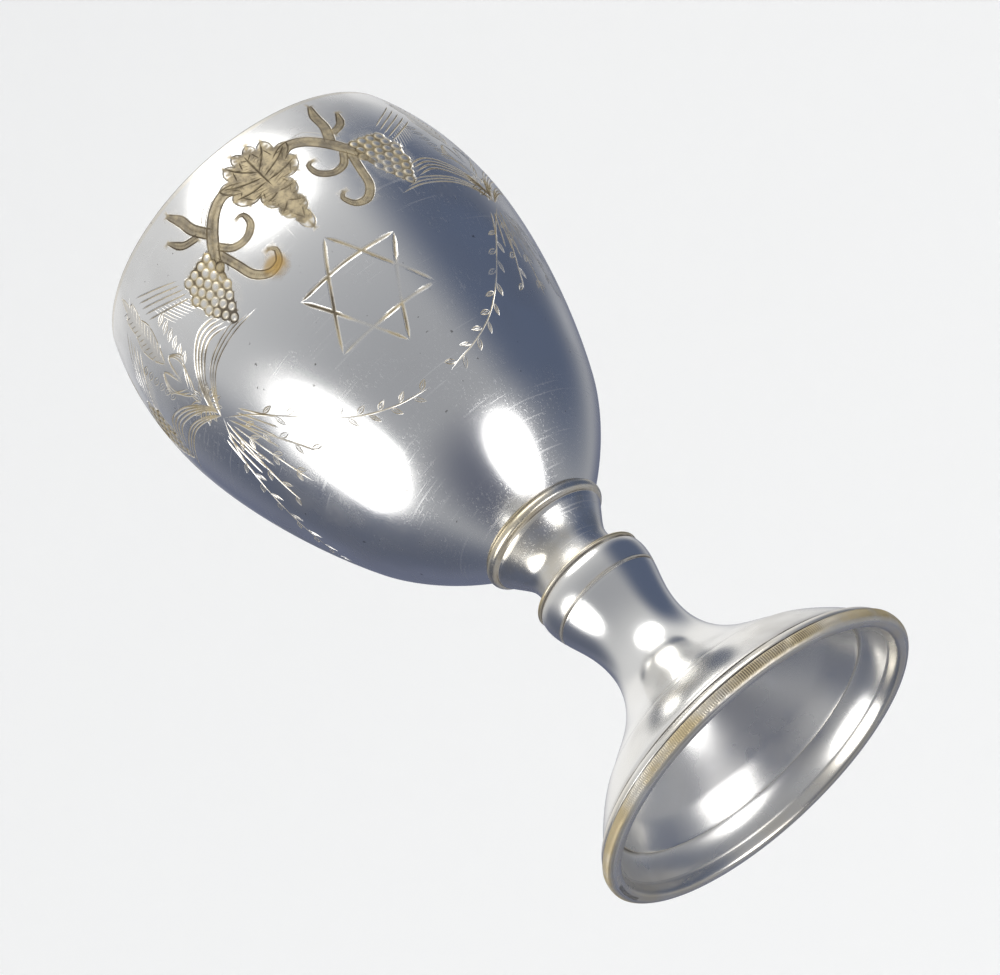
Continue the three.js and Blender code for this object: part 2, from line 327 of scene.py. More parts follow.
class Pattern:
    """The graver's work on one half repeat, drawn on the flattened skin."""

    def __init__(self, skin):
        self.skin = skin
        self.points = []
        self.edges = []
        self.cuts = []      # each row: start, end, half widths, depths
        self.grapes = []    # each row: centre, radius
        self.areas = []     # outline and how brassy it is inside

    def at(self, degrees, height):
        return np.array([math.radians(degrees) * SHEET_RADIUS, self.skin.travel_at(height)])

    def line(self, places):
        return through([self.at(*place) for place in places], STATION)

    def chain(self, points, closed=False):
        """Points joined by edges that stay in the mesh."""
        first = len(self.points)
        self.points.extend(points)
        self.edges.extend((i, i + 1) for i in range(first, len(self.points) - 1))
        if closed:
            self.edges.append((len(self.points) - 1, first))

    def stroke(self, line, width, depth, swell):
        """A V-shaped cut that starts and ends in a point; a small swell makes the points short."""
        t = np.linspace(0, 1, len(line))
        ease = np.minimum(1, np.sin(np.pi * t) / swell)
        half = ease * width / 2
        cut = ease * depth
        self.chain(line)
        for side in (sideways(line, half), sideways(line, -half)):
            self.chain(np.vstack([line[:1], side[1:-1], line[-1:]]))
        self.cuts.extend(zip(line[:-1], line[1:], half[:-1], half[1:], cut[:-1], cut[1:]))

    def cut(self, places, width, depth, swell):
        """A stroke through places in degrees and height."""
        self.stroke(self.line(places), width, depth, swell)

    def area(self, outline, brassy):
        """A ground inside an outline, brassy by a share."""
        self.areas.append((np.array(outline), brassy))

    def band(self, places, width):
        """A ribbon with two outlines, a brassy ground and short cross hatching."""
        line = self.line(places)
        half = width / 2 * tapered(np.linspace(0, 1, len(line)))
        left, right = sideways(line, half), sideways(line, -half)
        self.stroke(left, BAND_OUTLINE, 0.2, 0.2)
        self.stroke(right, BAND_OUTLINE, 0.2, 0.2)
        self.area(np.vstack([left, right[::-1]]), BAND_BRASS)
        spine = through(line, BAND_HATCH)
        for i in range(1, len(spine) - 1):
            along = spine[i + 1] - spine[i - 1]
            length = np.linalg.norm(along) + 1e-9
            lean = left_of(along) / length
            reach = HATCH_REACH * width * tapered(i / len(spine))
            slant = along / length * reach * HATCH_SLANT
            ends = [spine[i] - lean * reach - slant, spine[i], spine[i] + lean * reach + slant]
            self.stroke(np.array(ends), 0.22, 0.1, 1)

    def leaf(self, tip, base, width, depth):
        """A small pointed leaf: two curved cuts that meet at its tip, and a vein."""
        tip, base = np.array(tip), np.array(base)
        along = tip - base
        side = left_of(along) / np.linalg.norm(along) * width / 2
        middle = base + 0.45 * along
        for sign in (-1, 1):
            self.stroke(through([base, middle + sign * side, tip], 0.4), 0.27, depth, 0.6)
        self.stroke(through([base + 0.2 * along, base + 0.8 * along], 0.6), 0.2, depth * 0.7, 0.8)

    def bunch(self, centres, radius):
        """Round grapes, with points for the deep gaps between them."""
        def round_ring(centre, share, count):
            turn = turns(count)
            return centre + np.stack([np.cos(turn), np.sin(turn)], 1) * radius * share

        for centre in centres:
            for share, count in ((0.5, 7), (0.8, 11), (1.0, 13)):
                self.chain(round_ring(centre, share, count), closed=True)
            self.points.append(centre)
            self.points.extend(p for p in round_ring(centre, GAP_REACH, 12)
                               if (np.linalg.norm(centres - p, axis=1) > radius * 1.1).all())
            self.grapes.append((*centre, radius))


def star(pattern):
    """Two crossed triangles; the strokes that run into this half from the left are cut whole."""
    skin = pattern.skin
    centre = skin.travel_at(STAR_HEIGHT * sizes().height / MM)
    depth = engraving().depth / MM

    def tip(turn):
        across = math.sin(turn * 2 * math.pi) * STAR_RADIUS
        travel = centre + math.cos(turn * 2 * math.pi) * STAR_RADIUS
        return np.array([across / skin.radius(travel) * SHEET_RADIUS, travel])

    for start in (0, 1 / 6):
        for side in range(3):
            a, b = tip(start + side / 3), tip(start + (side + 1) / 3)
            if max(a[0], b[0]) > 1:
                pattern.stroke(through([a, b], 0.9), STAR_STROKE, depth, 0.22)


def vine_leaf(pattern):
    """The broad leaf above the star, right half: lobes, an inner line, veins and fine hatching."""
    lobes = [(0, 107.3), (2.2, 110.0), (1.9, 110.9), (4.0, 112.9), (3.1, 114.3), (5.4, 116.4),
             (4.0, 118.3), (8.2, 118.0), (11.0, 120.6), (9.2, 121.8), (12.0, 124.4), (8.0, 124.5),
             (6.8, 127.6), (3.8, 125.9), (2.7, 128.6), (0, 127.2)]
    outline = np.array([pattern.at(*p) for p in lobes])
    for a, b in zip(outline, outline[1:]):
        along = b - a
        middle = (a + b) / 2 + np.array([along[1], -along[0]]) * 0.13
        pattern.stroke(through([a, middle, b], 0.5), 0.4, 0.22, 0.35)
    heart = pattern.at(0, 119)
    inner = heart + (outline - heart) * 0.78
    for a, b in zip(inner, inner[1:]):
        pattern.stroke(through([a, b], 0.6), 0.28, 0.16, 0.4)
    pattern.area(np.vstack([outline, outline[::-1] * (-1, 1)]), 0.95)
    for lobe, root_height in ((0, 119), (3, 114.5), (5, 116.8), (8, 119.6), (10, 120.6), (12, 122)):
        root = pattern.at(0, root_height)
        reach = outline[lobe] - root
        bow = root + reach * 0.5 + np.array([reach[1], -reach[0]]) * 0.06
        pattern.stroke(through([root, bow, root + reach * 0.92], 0.6), 0.42, 0.24, 0.5)
    pattern.cut([(0, 127.0), (0, 118)], 0.46, 0.26, 0.6)
    for i in range(26):
        start = pattern.at(0.5 + (i % 2) * 0.5, 109.5 + i * 0.62)
        reach = 1.2 + 2.2 * math.sin(math.pi * min(1, i / 20))
        pattern.stroke(through([start, start + np.array([reach, 0.7])], 0.8), 0.2, 0.1, 1)


def vine(pattern):
    """The vine from the leaf to the grapes, with its upper shoots and two curled tendrils."""
    pattern.band([(6, 121.6), (11, 123.2), (16, 122.2), (21, 119.2), (25, 115.5), (27, 112.0)], 2.1)
    pattern.band([(21.5, 119.4), (24.5, 123.0), (25.5, 126.4), (28.0, 129.6)], 1.7)
    pattern.band([(24.5, 121.0), (29.5, 122.4), (32.5, 125.4)], 1.2)
    pattern.band([(23.5, 116.0), (21.8, 111.8), (20.4, 108.6), (17.0, 106.6), (13.2, 106.9),
                  (11.6, 108.9), (13.2, 109.8)], 1.35)
    pattern.band([(22.5, 117.0), (19.2, 114.4), (15.0, 113.9), (11.6, 115.4), (11.4, 117.6),
                  (13.4, 117.9)], 1.15)
    for shift in (0, 1.1):
        pattern.cut([(13 + shift, 124.3), (18, 124.2 - shift), (22.5, 121.6 - shift)], 0.2, 0.09, 0.5)


def grapes(pattern):
    """A bunch of round grapes, packed like a honeycomb and narrowing to its lower end."""
    centre = pattern.at(31.8, 112.6)
    pitch = 1.74
    centres = []
    for row in range(-4, 4):
        wide = 3.9 - 0.4 * abs(row - 1.0) - (0.6 if row < -2 else 0)
        count = int(2 * wide / pitch) + (row % 2)
        for i in range(count):
            across = (i - (count - 1) / 2) * pitch - 0.1 * row
            centres.append(centre + np.array([across, row * pitch * 0.87]))
    pattern.bunch(np.array(centres), 0.83)
    turn = np.linspace(0, 6.2, 30)
    pattern.area(centre + np.stack([4.4 * np.cos(turn), 6.4 * np.sin(turn)], 1), 0.15)


def strands(pattern):
    """Ribbon strands from the grapes to the knot, and straight rays above them."""
    for i in range(4):
        pattern.cut([(35.5, 106.6 + i * 0.9), (43, 107.8 + i * 0.85), (51, 105.9 + i * 0.75),
                     (57, 103.4 + i * 0.5), (61.5, 100.2 + i * 0.3)], 0.5, 0.2, 0.3)
    for i in range(3):
        pattern.cut([(26 + 3 * i, 104.4 + i * 0.6), (36, 104.9 + i * 0.7), (47, 104.3 + i * 0.6),
                     (55, 102.2 + i * 0.4), (61, 99.6)], 0.42, 0.17, 0.4)
    for i in range(5):
        pattern.cut([(37.6, 115.2 + i * 1.0), (45, 117.6 + i * 1.15), (54, 120.6 + i * 1.25)],
                    0.36, 0.15, 0.35)
    for i in range(9):
        pattern.cut([(36.4 + i * 1.3, 112.4 + i * 0.35), (39.6 + i * 1.3, 116.4 + i * 0.5)],
                    0.2, 0.08, 0.8)


def knot(pattern):
    """The bow between two repeats: a rosette, crossed loops and a leaf that stands above it."""
    centre = pattern.at(KNOT, 103.4)
    for i in range(12):
        turn = i * 2 * math.pi / 12 + 0.13
        way = np.array([math.cos(turn), math.sin(turn)])
        pattern.leaf(centre + way * np.array([4.3, 3.4]), centre + way * 0.9, 1.0, 0.17)
    for i in range(3):
        pattern.cut([(KNOT, 105.5 + i), (56.5 - i, 108.2 + i), (54.8 - i, 111.5), (57.2, 113.6),
                     (KNOT, 111.0 - i)], 0.38, 0.15, 0.4)
    tall = [(KNOT, 114.0), (57.0, 116.6), (55.4, 120.0), (57.2, 122.6), (56.6, 126.0), (58.8, 126.4),
            (KNOT, 129.4)]
    outline = np.array([pattern.at(*p) for p in tall])
    for a, b in zip(outline, outline[1:]):
        pattern.stroke(through([a, (a + b) / 2 - np.array([0.15, 0]), b], 0.5), 0.34, 0.15, 0.35)
    mirrored = outline[::-1] * (-1, 1) + (2 * HALF_WIDTH, 0)
    pattern.area(np.vstack([outline, mirrored]), 0.3)
    for i in range(12):
        start = pattern.at(59.6, 115.2 + i)
        pattern.stroke(through([start, start + np.array([-2.0, 1.2])], 0.7), 0.2, 0.09, 0.8)
    for i in range(6):
        tip = pattern.at(50.5 - 0.6 * i, 111.0 + 1.5 * i)
        pattern.leaf(tip, pattern.at(54.5 - 0.4 * i, 110.0 + 1.6 * i), 0.9, 0.12)


def spray(pattern, places, leaves, reach, width=0.34):
    """A thin stem with small pointed leaves on both sides."""
    stem = pattern.line(places)
    pattern.stroke(stem, width, 0.15, 0.25)
    for i in range(leaves):
        share = FIRST_LEAF + (LAST_LEAF - FIRST_LEAF) * i / max(1, leaves - 1)
        k = min(len(stem) - 2, max(1, int(share * (len(stem) - 1))))
        along = stem[k + 1] - stem[k - 1]
        along /= np.linalg.norm(along)
        side = left_of(along) * (1 if i % 2 else -1)
        base = stem[k] + side * 0.15
        pattern.leaf(base + (along * 0.95 + side * 0.75) * reach, base, 0.66 + 0.1 * (i % 3), 0.14)


def sprays(pattern):
    """Long sprays that hang from the knot and nearly meet below the star, and short ones under it."""
    spray(pattern, [(KNOT, 99.6), (53, 95.6), (45, 89.8), (37, 84.6), (28, 80.2), (17, 77.2),
                    (4.5, 75.6)], 15, 2.1)
    spray(pattern, [(59.5, 98.8), (55.5, 92.5), (51.5, 86.8), (49.0, 83.0)], 5, 1.9, 0.42)
    spray(pattern, [(KNOT, 97.4), (KNOT, 90), (KNOT, 81.6)], 6, 1.8, 0.4)
    for i in range(4):
        pattern.cut([(58.6 - 1.6 * i, 97.8), (57.2 - 2.1 * i, 93.4 + 0.4 * i),
                     (56.2 - 2.9 * i, 88.6 + 0.9 * i)], 0.42, 0.17, 0.3)


def half_repeat(skin):
    """Cuts the pattern's lines into the flat skin: points, triangles, depth, brassiness and grapes."""
    pattern = Pattern(skin)
    for draw in (star, vine_leaf, vine, grapes, strands, knot, sprays):
        draw(pattern)
    low, high = skin.travel_at(DRAWN_FROM), skin.travel_at(DRAWN_TO)
    columns = np.linspace(0, HALF_WIDTH, BACKGROUND_COLUMNS + 1)
    rows = np.linspace(low, high, BACKGROUND_ROWS + 1)
    for row in rows:
        if row in (low, high):
            pattern.chain([np.array([x, row]) for x in columns])
        else:
            pattern.points.extend(np.array([x, row]) for x in columns[1:-1])
    for x in (columns[0], columns[-1]):
        pattern.chain([np.array([x, row]) for row in rows])
    flat, _, faces, *_ = geometry.delaunay_2d_cdt(
        [Vector(p) for p in pattern.points], pattern.edges, [], 0, JOINED)
    flat = np.array([tuple(p) for p in flat])
    faces = np.array([f for f in faces if len(f) == 3])
    x, y = flat[faces].mean(1).T
    inside = (x > 0) & (x < HALF_WIDTH) & (y > low) & (y < high)
    for axis, exact in ((0, columns[[0, -1]]), (1, rows)):
        for value in exact:
            flat[np.abs(flat[:, axis] - value) < 2 * JOINED, axis] = value
    border = (flat[:, 1] == low) | (flat[:, 1] == high)
    flat[border, 0] = np.round(flat[border, 0] / columns[1]) * columns[1]
    return flat, faces[inside], *relief(pattern, flat)


def relief(pattern, flat):
    """How deep the cuts are at each point, how brassy the ground is, and where the grapes are."""
    depth = np.zeros(len(flat))
    start, end, half_a, half_b, cut_a, cut_b = (np.array(column, float) for column in zip(*pattern.cuts))
    way = (end - start)[None]
    for i in range(0, len(flat), AT_ONCE):
        p = flat[i:i + AT_ONCE, None, :]
        t = np.clip(((p - start) * way).sum(2) / ((way ** 2).sum(2) + 1e-12), 0, 1)
        away = np.linalg.norm(p - start - way * t[..., None], axis=2)
        half = half_a + (half_b - half_a) * t
        cut = cut_a + (cut_b - cut_a) * t
        depth[i:i + AT_ONCE] = (cut * np.clip(1 - away / (half + 1e-6), 0, 1)).max(1)
    x, y, radius = np.array(pattern.grapes).T
    share = np.sort(np.hypot(flat[:, :1] - x, flat[:, 1:] - y) / radius, axis=1)
    nearest, next_one = share[:, 0], share[:, 1]
    dome = 1 - np.sqrt(1 - np.clip(nearest, 0, 1) ** 2)
    rim = np.where(next_one < GAP_BETWEEN, 1, np.clip((GAP_REACH - nearest) / (GAP_REACH - 1), 0, 1))
    bead = nearest < 1.001
    bunch = nearest < GAP_REACH + 0.01
    depth[bunch] = GRAPE_DEPTH * np.where(bead, dome, rim)[bunch]
    brassy = np.zeros(len(flat))
    for outline, amount in pattern.areas:
        brassy = np.maximum(brassy, amount * inside_share(flat, outline, GROUND_BLUR))
    depth[depth < SHALLOWEST] = 0
    return depth, brassy, bead


def inside_share(points, outline, blur):
    """1 inside a closed outline, falling to 0 at a distance of blur outside it."""
    x, y = points[:, 0], points[:, 1]
    inside = np.zeros(len(points), bool)
    nearest = np.full(len(points), np.inf)
    for (ax, ay), (bx, by) in zip(outline, np.roll(outline, -1, axis=0)):
        crosses = (ay > y) != (by > y)
        with np.errstate(divide="ignore", invalid="ignore"):
            inside ^= crosses & (x < (bx - ax) * (y - ay) / (by - ay) + ax)
        length = (bx - ax) ** 2 + (by - ay) ** 2 + 1e-12
        t = np.clip(((x - ax) * (bx - ax) + (y - ay) * (by - ay)) / length, 0, 1)
        nearest = np.minimum(nearest, np.hypot(x - ax - t * (bx - ax), y - ay - t * (by - ay)))
    return np.where(inside, 1.0, np.clip(1 - nearest / blur, 0, 1))


# Places on the front repeat where years of handling have rubbed the cuts nearly flat:
# degrees round, height, and how far the rubbing reaches.
RUBBED_PLACES = [(-9, 88.6, 5.0), (6.5, 91.0, 3.2), (12, 93.5, 2.4), (18, 88.6, 1.6), (-36, 86, 5.0)]
RUBBED_SHARE = 0.93
BROAD_PATCHES, FINE_PATCHES = 0.13, 0.41    # patches of wear in each millimetre
WANDER_SEED = 11
WANDER_BENDS = 0.07         # bends of the wander in each millimetre
WANDER_FADE = 3             # distance from the drawn zone's edges over which the wander sets in


def worn(skin, angle, travel, depth):
    """Depth after wear: patchy all over, and nearly gone in the rubbed places."""
    places = [Vector(p) for p in skin.place(angle, travel, np.zeros(len(angle)))]
    patchy = np.array([noise.noise(p * BROAD_PATCHES) + 0.5 * noise.noise(p * FINE_PATCHES)
                       for p in places])
    keep = 1 - engraving().wear * np.clip(0.5 + 1.1 * patchy, 0, 1)
    for degrees, height, reach in RUBBED_PLACES:
        across = (angle - math.radians(degrees) + math.pi) % (2 * math.pi) - math.pi
        away = np.hypot(across * skin.radius(travel), travel - skin.travel_at(height)) / reach
        keep = keep * (1 - RUBBED_SHARE * np.exp(-away ** 4))
    return depth * keep


def strayed(skin, angle, travel):
    """The even layout, strayed a little as a hand strays, and not at all at the drawn zone's edges."""
    noise.seed_set(WANDER_SEED)
    low, high = skin.travel_at(DRAWN_FROM), skin.travel_at(DRAWN_TO)
    edge = np.minimum(travel - low, high - travel)
    fade = np.clip(edge / WANDER_FADE, 0, 1) * engraving().wander / MM
    places = skin.place(angle, travel, np.zeros(len(angle)))
    wander = np.array([noise.noise_vector(Vector(p) * WANDER_BENDS) for p in places]) * fade[:, None]
    return angle + wander[:, 0] / skin.radius(travel), travel + wander[:, 1]


# ---------------------------------------------------------------- meshes

ON_AXIS = 1e-6              # a ring of a smaller radius is one point
WELD_DECIMALS = 4
FLUTE_DEPTH = 0.13
FLUTE_DIRT = 0.75           # added at the bottom of a flute
SHARP = math.radians(38)


def welded(points, faces):
    """One vertex for each place: which points are kept, and the faces renumbered."""
    _, first, back = np.unique(np.round(points, WELD_DECIMALS), axis=0,
                               return_index=True, return_inverse=True)
    a, b, c = back.reshape(-1)[faces].T
    whole = (a != b) & (b != c) & (c != a)
    return first, np.stack([a, b, c], 1)[whole]


def lathe_rings(outline, segments, fluted=0.0):
    """Rings to turn: an outline row, the points round the ring, and the share of its flutes' depth."""
    return [(row, segments, fluted) for row in outline]


def turned(ring_list):
    """A surface of revolution: points, triangles, and the rubbing and dirt at each point. Neighbouring
    rings may differ in their number of points by a whole factor, and a ring on the axis is one point."""
    points, wear, faces, starts = [], [], [], []
    for (radius, height, rub, dirt), segments, fluted in ring_list:
        count = 1 if radius < ON_AXIS else segments
        turn = turns(count)
        wave = 0.5 - 0.5 * np.cos(turn * engraving().flutes)
        cut = radius - wave * FLUTE_DEPTH * fluted
        starts.append((len(points), count))
        points.extend(zip(cut * np.sin(turn), -cut * np.cos(turn), np.full(count, height)))
        wear.extend(zip(np.full(count, rub), dirt + FLUTE_DIRT * wave * fluted))
    for lower, upper in zip(starts, starts[1:]):
        faces.extend(stitched(*lower, *upper))
    return np.array(points), np.array(faces), np.array(wear)


def stitched(a, count_a, b, count_b):
    """Triangles between two rings that start at a and b."""
    if count_a < count_b:
        return [(x, z, y) for x, y, z in stitched(b, count_b, a, count_a)]
    faces = []
    share = count_a // count_b
    for i in range(count_a):
        p, q = a + i, a + (i + 1) % count_a
        near = b + (i // share) % count_b
        faces.append((p, q, near))
        if count_b > 1 and (i + 1) % share == 0:
            faces.append((q, b + (i // share + 1) % count_b, near))
    return faces


def outward_facing(points, faces):
    """Turns all faces round if the closed surface is inside out."""
    a, b, c = (points[faces[:, k]] for k in range(3))
    volume = (a * np.cross(b, c)).sum() / 6
    return faces if volume > 0 else faces[:, ::-1]


def mesh_piece(name, points, faces, painted, normals=None):
    """A mesh object in metres, with its wear painted as values on its vertices."""
    mesh = bpy.data.meshes.new(name)
    mesh.from_pydata((points * MM).tolist(), [], faces.tolist())
    for label, values in painted.items():
        layer = mesh.attributes.new(label, "FLOAT", "POINT")
        layer.data.foreach_set("value", np.asarray(values, np.float32))
    mesh.polygons.foreach_set("use_smooth", [True] * len(mesh.polygons))
    if normals is None:
        mesh.set_sharp_from_angle(angle=SHARP)
    else:
        mesh.normals_split_custom_set(normals.reshape(-1, 3).tolist())
    mesh.update()
    piece = bpy.data.objects.new(name, mesh)
    bpy.context.scene.collection.objects.link(piece)
    return piece


def spun_piece(name, ring_list):
    """A closed piece turned from its rings."""
    points, faces, wear = turned(ring_list)
    first, faces = welded(points, faces)
    points, (rub, dirt) = points[first], wear[first].T
    return mesh_piece(name, points, outward_facing(points, faces), {"rub": rub, "dirt": dirt})


def dressed(piece, node, material):
    """The piece takes its finish and stands for its node of the construction model."""
    piece.data.materials.append(material)
    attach(piece, BODY)
    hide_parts(node)


# ---------------------------------------------------------------- bowl

BOWL_SEGMENTS = 240
BOTTOM_RINGS = 44
RIM_RINGS = 7
INSIDE_RINGS = 54
CUT_RUB = 0.85              # how far the plate is gone in a cut,
CUT_RUB_DEPTH = 0.1         # and the depth from which it is
CUT_DIRT_DEPTH = 0.22       # a cut this deep is full of dirt,
GROUND_DIRT_DEPTH = 0.12    # and on brassy ground one shallower by this
GAP_DIRT_DEPTH = 0.06       # dirt between grapes sets in at this depth
GAP_DIRT_RANGE = 0.18       # and is full this much deeper
FACET_DEPTH = 0.004         # cuts deeper than this have flat facets


def engraved_zone(skin):
    """The drawn part of the skin all round: angles, travels, faces, depth, brassiness and grapes."""
    flat, faces, *values = half_repeat(skin)
    angles, all_faces = [], []
    for tile in range(HALVES):
        mirrored = tile % 2
        step = tile // 2 * 2 * REPEAT
        angle = flat[:, 0] / SHEET_RADIUS
        angles.append(step + (2 * REPEAT - angle if mirrored else angle))
        all_faces.append((faces[:, ::-1] if mirrored else faces) + tile * len(flat))
    travel = np.tile(flat[:, 1], HALVES)
    return np.concatenate(angles), travel, np.vstack(all_faces), *(np.tile(v, HALVES) for v in values)


def bowl_outlines(skin):
    """The rings below the drawn zone, and those from above it over the rim and down inside."""
    wall, height, edge = sizes().sheet / MM, sizes().height / MM, skin.radius(skin.length)
    below = np.linspace(0, skin.travel_at(DRAWN_FROM), BOTTOM_RINGS)
    above = np.linspace(skin.travel_at(DRAWN_TO), skin.length, RIM_RINGS)[:-1]
    side = rings(zip(skin.radius(above), skin.height(above)), 0.25)
    side[-1] = (*side[-1][:2], 0.2, 0.75)
    lip = [(edge, height - 0.28, 0.5, 0.1), (edge - 0.06, height - 0.12, 0.7, 0),
           (edge - 0.2, height - 0.02, 0.8, 0), (edge - wall / 2, height, 0.8, 0),
           (edge - wall + 0.2, height - 0.02, 0.8, 0), (edge - wall + 0.05, height - 0.14, 0.6, 0)]
    radius, level = skin.sunk(np.linspace(skin.length - 0.3, 0, INSIDE_RINGS), wall)
    radius[-1] = 0
    inside = rings(zip(np.maximum(radius, 0), level), 0.05)
    return rings(zip(skin.radius(below), skin.height(below))), side + lip + inside


def bowl_shell(skin):
    """The whole bowl as one closed surface: points, faces, the skin's normals, and for each point how
    rubbed, dirty and brassy it is, how deep it is cut and whether it is on a grape."""
    angle, travel, faces, depth, ground, bead = engraved_zone(skin)
    angle, travel = strayed(skin, angle, travel)
    depth = worn(skin, angle, travel, depth)
    rub = np.clip(depth / CUT_RUB_DEPTH, 0, CUT_RUB)
    fouled = np.where(bead, (depth - GAP_DIRT_DEPTH) / GAP_DIRT_RANGE,
                      depth / (CUT_DIRT_DEPTH - GROUND_DIRT_DEPTH * ground))
    values = np.stack([rub, np.clip(fouled, 0, 1), ground, depth, bead], 1)
    points, normals = skin.place(angle, travel, depth), skin.normal(angle, travel)
    for outline in bowl_outlines(skin):
        more_points, more_faces, wear = turned(lathe_rings(outline, BOWL_SEGMENTS))
        faces = np.vstack([faces, more_faces + len(points)])
        points = np.vstack([points, more_points])
        values = np.vstack([values, np.pad(wear, ((0, 0), (0, 3)))])
    first, faces = welded(points, faces)
    points = points[first]
    drawn = first < len(normals)
    return points, outward_facing(points, faces), drawn, normals[first[drawn]], values[first].T


def bowl_normals(points, faces, drawn, skin_normals, depth, bead):
    """A normal for each corner: the skin's where it is whole, flat in the cuts, round on the grapes."""
    a, b, c = (points[faces[:, k]] for k in range(3))
    facet = np.cross(b - a, c - a)
    average = np.zeros_like(points)
    for k in range(3):
        np.add.at(average, faces[:, k], facet)
    average /= np.linalg.norm(average, axis=1)[:, None] + 1e-12
    facet /= np.linalg.norm(facet, axis=1)[:, None] + 1e-12
    whole = average.copy()
    whole[drawn] = skin_normals
    corner = whole[faces]
    cut = ((depth * drawn)[faces] > FACET_DEPTH).any(1)
    corner[cut] = facet[cut][:, None, :]
    round_faces = (bead[faces] > 0).all(1)
    corner[round_faces] = average[faces[round_faces]]
    return corner


class CUP_OT_bowl(bpy.types.Operator):
    """Spin the bowl and cut its engraving"""
    bl_idname = "cup.bowl"
    bl_label = "Bowl"

    def execute(self, context):
        points, faces, drawn, skin_normals, (rub, dirt, ground, depth, bead) = bowl_shell(BowlSkin())
        normals = bowl_normals(points, faces, drawn, skin_normals, depth, bead)
        painted = {"rub": rub, "dirt": dirt, "ground": ground}
        piece = mesh_piece("cup_bowl", points, faces, painted, normals)
        dressed(piece, "bowl", plate_material("bowl_plate", engraved=True))
        return {"FINISHED"}


# ---------------------------------------------------------------- collar

COLLAR_SEGMENTS = 180
COLLAR_WALL = 1.1


def collar_outline():
    """The spun ferrule: its flare, bead and inside, with brown solder at both seams."""
    foot = sizes().stem_top / MM + 0.06
    bead = sizes().bead_radius / MM
    level = COLLAR_BOX[1].z / MM - 0.95
    neck = np.array([7.7, foot])
    under = np.array([bead - 1.05, level - 1.3])
    flare = rings(bend(neck + (0.02, 0.3), neck + (-0.4, 4.8), under + (-3.4, -5), under, 26), 0.04)
    flare[1] = (*flare[1][:2], 0.1, 0.2)
    top = softened([
        (*under, 0.2, 0), (under[0], under[1] + 0.22, 0.1, 0.85), (bead - 0.95, level - 0.86, 0.2, 0.5),
        (bead - 0.28, level - 0.72, 0.35, 0), (bead, level - 0.2, 0.35, 0),
        (bead - 0.02, level + 0.45, 0.5, 0), (bead - 0.3, level + 0.9, 0.85, 0),
        (bead - 0.75, level + 0.93, 0.2, 0.7), (bead - 1.1, level + 0.62, 0, 1),
        (bead - 1.5, level - 0.25, 0, 1)])
    inside = rings([(r - COLLAR_WALL, z) for r, z, *_ in reversed(flare[2:-3:3])], 0, 0.2)
    seam = [(*neck, 0.1, 0.9), (*(neck + (0.02, 0.25)), 0.1, 0.75)]
    return seam + flare + top[1:] + inside + [(neck[0] - COLLAR_WALL, foot, 0, 0.5), seam[0]]


class CUP_OT_collar(bpy.types.Operator):
    """Spin the collar between the bowl and the stem"""
    bl_idname = "cup.collar"
    bl_label = "Collar"

    def execute(self, context):
        piece = spun_piece("cup_collar", lathe_rings(collar_outline(), COLLAR_SEGMENTS))
        dressed(piece, "collar", plate_material("collar_plate", warm=0.35))
        return {"FINISHED"}


# ---------------------------------------------------------------- stem and foot

FOOT_SEGMENTS = 360
STEM_SEGMENTS = 180
MILLED_SEGMENTS = 1440
SCRIBED_FROM, SCRIBED_TO = 38.1, 38.95     # heights of the scribed ring round the knop


def foot_edge():
    """From the standing ring up: the edge, the milled band, then the groove, bead and shoulder."""
    foot = sizes().foot_radius / MM
    lower = softened([(foot - 1.1, 0, 0.2, 0), (foot - 0.75, 0.06, 0.35, 0), (foot - 0.45, 0.3, 0.5, 0.2)])
    band = rings(bend((foot - 0.42, 0.36), (foot - 0.1, 0.55), (foot, 0.8), (foot, 1.15), 4), 0.85, 0.15)
    band += rings(bend((foot, 1.15), (foot, 1.5), (foot - 0.05, 1.75), (foot - 0.12, 1.98), 3), 0.85, 0.15)
    start, end = (foot - 0.8, 2.6), (foot - 2.1, 4.05)
    groove = softened([
        (foot - 0.14, 2.02, 0.8, 0), (foot - 0.34, 2.2, 0.7, 0), (foot - 0.92, 2.22, 0, 2),
        (foot - 0.98, 2.5, 0, 2), (*start, 0.2, 0.3), *rings(bulge(start, end, 0.34, 7), 0.3),
        (foot - 2.52, 4.02, 0, 2), (foot - 2.78, 4.34, 0, 2), (foot - 2.6, 4.56, 0.2, 0.2)], 1)
    shoulder = rings(bulge((foot - 2.55, 4.62), (22.3, 11.42), 0.35, 14), 0.06)
    return lower, band, groove + shoulder


